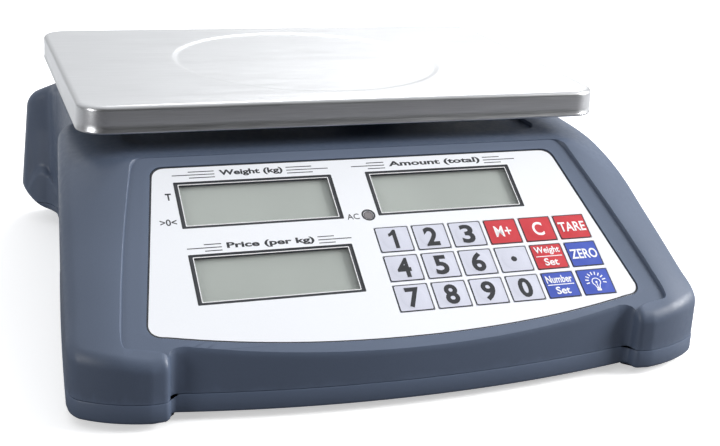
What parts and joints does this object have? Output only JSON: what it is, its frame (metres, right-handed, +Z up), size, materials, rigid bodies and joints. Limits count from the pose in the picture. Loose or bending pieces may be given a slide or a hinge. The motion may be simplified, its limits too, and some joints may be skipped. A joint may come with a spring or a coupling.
{
  "type": "counting scale",
  "caption": "Bench counting and price scale: wedge-shaped plastic casing with a sloped keypad panel, display windows and a stainless platter above.",
  "frame": {"origin": "on the ground, centred under the scale's bounding box", "axes": "+Z up, -Y towards the operator, who faces the sloped panel; +X to the operator's right"},
  "size_m": [0.384, 0.38, 0.143],
  "materials": {
    "casing": "fine moulded grain, satin blue-grey",
    "overlay": "printed white polyester sheet, semi-matt",
    "window": "clear plastic window",
    "lcd": "grey-green unlit liquid crystal display",
    "key_pale": "embossed membrane key, pale lavender grey",
    "key_red": "embossed membrane key, red",
    "key_blue": "embossed membrane key, blue",
    "brushed_steel": "brushed stainless sheet",
    "aluminium": "cast and machined, dull",
    "zinc_steel": "zinc-plated fastener",
    "rubber": "matt moulded rubber",
    "membrane": "keypad switch sheet",
    "circuit_board": "green solder mask",
    "black_plastic": "black nylon",
    "battery_case": "dark grey case",
    "transformer_iron": "laminated core with taped winding",
    "lamp": "smoked round indicator, unlit"
  },
  "bodies": {
    "base": {"top_cover": "casing", "bottom_cover": "casing", "window_mass": "window", "window_total": "window", "window_price": "window", "window_customer": "window", "bubble_level": "window", "lcd_mass": "lcd", "lcd_total": "lcd", "lcd_price": "lcd", "lcd_customer": "lcd", "load_cell": "aluminium", "base_frame": "aluminium", "frame_bolt_1": "zinc_steel", "frame_bolt_2": "zinc_steel", "casing_screw_1": "zinc_steel", "casing_screw_2": "zinc_steel", "casing_screw_3": "zinc_steel", "casing_screw_4": "zinc_steel", "panel_overlay": "overlay", "keypad_membrane": "membrane", "main_board": "circuit_board", "power_inlet": "black_plastic", "switch_frame": "black_plastic", "load_cell_lead": "black_plastic", "battery": "battery_case", "transformer": "transformer_iron", "power_indicator": "lamp"},
    "carrier": {"platter_carrier": "aluminium", "platter_pad_front_left": "rubber", "platter_pad_front_right": "rubber", "platter_pad_rear_left": "rubber", "platter_pad_rear_right": "rubber", "carrier_bolt_1": "zinc_steel", "carrier_bolt_2": "zinc_steel"},
    "platter": {"platter": "brushed_steel"},
    "rocker": {"switch_rocker": "black_plastic"},
    "battery_door": {"battery_door": "casing"},
    "foot_front_left": {"foot_front_left": "rubber"},
    "foot_front_right": {"foot_front_right": "rubber"},
    "foot_rear_left": {"foot_rear_left": "rubber"},
    "foot_rear_right": {"foot_rear_right": "rubber"},
    "key_1": {"key_1": "key_pale"},
    "key_2": {"key_2": "key_pale"},
    "key_3": {"key_3": "key_pale"},
    "key_memory": {"key_memory": "key_red"},
    "key_clear": {"key_clear": "key_red"},
    "key_tare": {"key_tare": "key_red"},
    "key_4": {"key_4": "key_pale"},
    "key_5": {"key_5": "key_pale"},
    "key_6": {"key_6": "key_pale"},
    "key_point": {"key_point": "key_pale"},
    "key_weight_set": {"key_weight_set": "key_red"},
    "key_zero": {"key_zero": "key_blue"},
    "key_7": {"key_7": "key_pale"},
    "key_8": {"key_8": "key_pale"},
    "key_9": {"key_9": "key_pale"},
    "key_0": {"key_0": "key_pale"},
    "key_count_set": {"key_count_set": "key_blue"},
    "key_light": {"key_light": "key_blue"}
  },
  "joints": [
    {"name": "weighing_travel", "type": "slide", "parent": "base", "child": "carrier", "axis": [0, 0, 1], "range_m": [-0.00025, 0], "stiffness_N_per_m": 60000, "springref_m": 0.001},
    {"name": "platter_lift_off", "type": "slide", "parent": "carrier", "child": "platter", "axis": [0, 0, 1], "range_m": [0, 0.05]},
    {"name": "power_rocker", "type": "hinge", "parent": "base", "child": "rocker", "pos_m": [0.092, 0.1853, 0.036], "axis": [0, 0, 1], "range_deg": [0, 24]},
    {"name": "battery_door_slide", "type": "slide", "parent": "base", "child": "battery_door", "axis": [0, 1, 0], "range_m": [0, 0.1]},
    {"name": "foot_front_left_height", "type": "slide", "parent": "base", "child": "foot_front_left", "axis": [0, 0, 1], "range_m": [-0.003, 0.002]},
    {"name": "foot_front_right_height", "type": "slide", "parent": "base", "child": "foot_front_right", "axis": [0, 0, 1], "range_m": [-0.003, 0.002]},
    {"name": "foot_rear_left_height", "type": "slide", "parent": "base", "child": "foot_rear_left", "axis": [0, 0, 1], "range_m": [-0.003, 0.002]},
    {"name": "foot_rear_right_height", "type": "slide", "parent": "base", "child": "foot_rear_right", "axis": [0, 0, 1], "range_m": [-0.003, 0.002]},
    {"name": "key_1_press", "type": "slide", "parent": "base", "child": "key_1", "axis": [0, -0.5287, 0.8488], "range_m": [-0.0006, 0], "stiffness_N_per_m": 1500},
    {"name": "key_2_press", "type": "slide", "parent": "base", "child": "key_2", "axis": [0, -0.5287, 0.8488], "range_m": [-0.0006, 0], "stiffness_N_per_m": 1500},
    {"name": "key_3_press", "type": "slide", "parent": "base", "child": "key_3", "axis": [0, -0.5287, 0.8488], "range_m": [-0.0006, 0], "stiffness_N_per_m": 1500},
    {"name": "key_memory_press", "type": "slide", "parent": "base", "child": "key_memory", "axis": [0, -0.5287, 0.8488], "range_m": [-0.0006, 0], "stiffness_N_per_m": 1500},
    {"name": "key_clear_press", "type": "slide", "parent": "base", "child": "key_clear", "axis": [0, -0.5287, 0.8488], "range_m": [-0.0006, 0], "stiffness_N_per_m": 1500},
    {"name": "key_tare_press", "type": "slide", "parent": "base", "child": "key_tare", "axis": [0, -0.5287, 0.8488], "range_m": [-0.0006, 0], "stiffness_N_per_m": 1500},
    {"name": "key_4_press", "type": "slide", "parent": "base", "child": "key_4", "axis": [0, -0.5287, 0.8488], "range_m": [-0.0006, 0], "stiffness_N_per_m": 1500},
    {"name": "key_5_press", "type": "slide", "parent": "base", "child": "key_5", "axis": [0, -0.5287, 0.8488], "range_m": [-0.0006, 0], "stiffness_N_per_m": 1500},
    {"name": "key_6_press", "type": "slide", "parent": "base", "child": "key_6", "axis": [0, -0.5287, 0.8488], "range_m": [-0.0006, 0], "stiffness_N_per_m": 1500},
    {"name": "key_point_press", "type": "slide", "parent": "base", "child": "key_point", "axis": [0, -0.5287, 0.8488], "range_m": [-0.0006, 0], "stiffness_N_per_m": 1500},
    {"name": "key_weight_set_press", "type": "slide", "parent": "base", "child": "key_weight_set", "axis": [0, -0.5287, 0.8488], "range_m": [-0.0006, 0], "stiffness_N_per_m": 1500},
    {"name": "key_zero_press", "type": "slide", "parent": "base", "child": "key_zero", "axis": [0, -0.5287, 0.8488], "range_m": [-0.0006, 0], "stiffness_N_per_m": 1500},
    {"name": "key_7_press", "type": "slide", "parent": "base", "child": "key_7", "axis": [0, -0.5287, 0.8488], "range_m": [-0.0006, 0], "stiffness_N_per_m": 1500},
    {"name": "key_8_press", "type": "slide", "parent": "base", "child": "key_8", "axis": [0, -0.5287, 0.8488], "range_m": [-0.0006, 0], "stiffness_N_per_m": 1500},
    {"name": "key_9_press", "type": "slide", "parent": "base", "child": "key_9", "axis": [0, -0.5287, 0.8488], "range_m": [-0.0006, 0], "stiffness_N_per_m": 1500},
    {"name": "key_0_press", "type": "slide", "parent": "base", "child": "key_0", "axis": [0, -0.5287, 0.8488], "range_m": [-0.0006, 0], "stiffness_N_per_m": 1500},
    {"name": "key_count_set_press", "type": "slide", "parent": "base", "child": "key_count_set", "axis": [0, -0.5287, 0.8488], "range_m": [-0.0006, 0], "stiffness_N_per_m": 1500},
    {"name": "key_light_press", "type": "slide", "parent": "base", "child": "key_light", "axis": [0, -0.5287, 0.8488], "range_m": [-0.0006, 0], "stiffness_N_per_m": 1500}
  ]
}
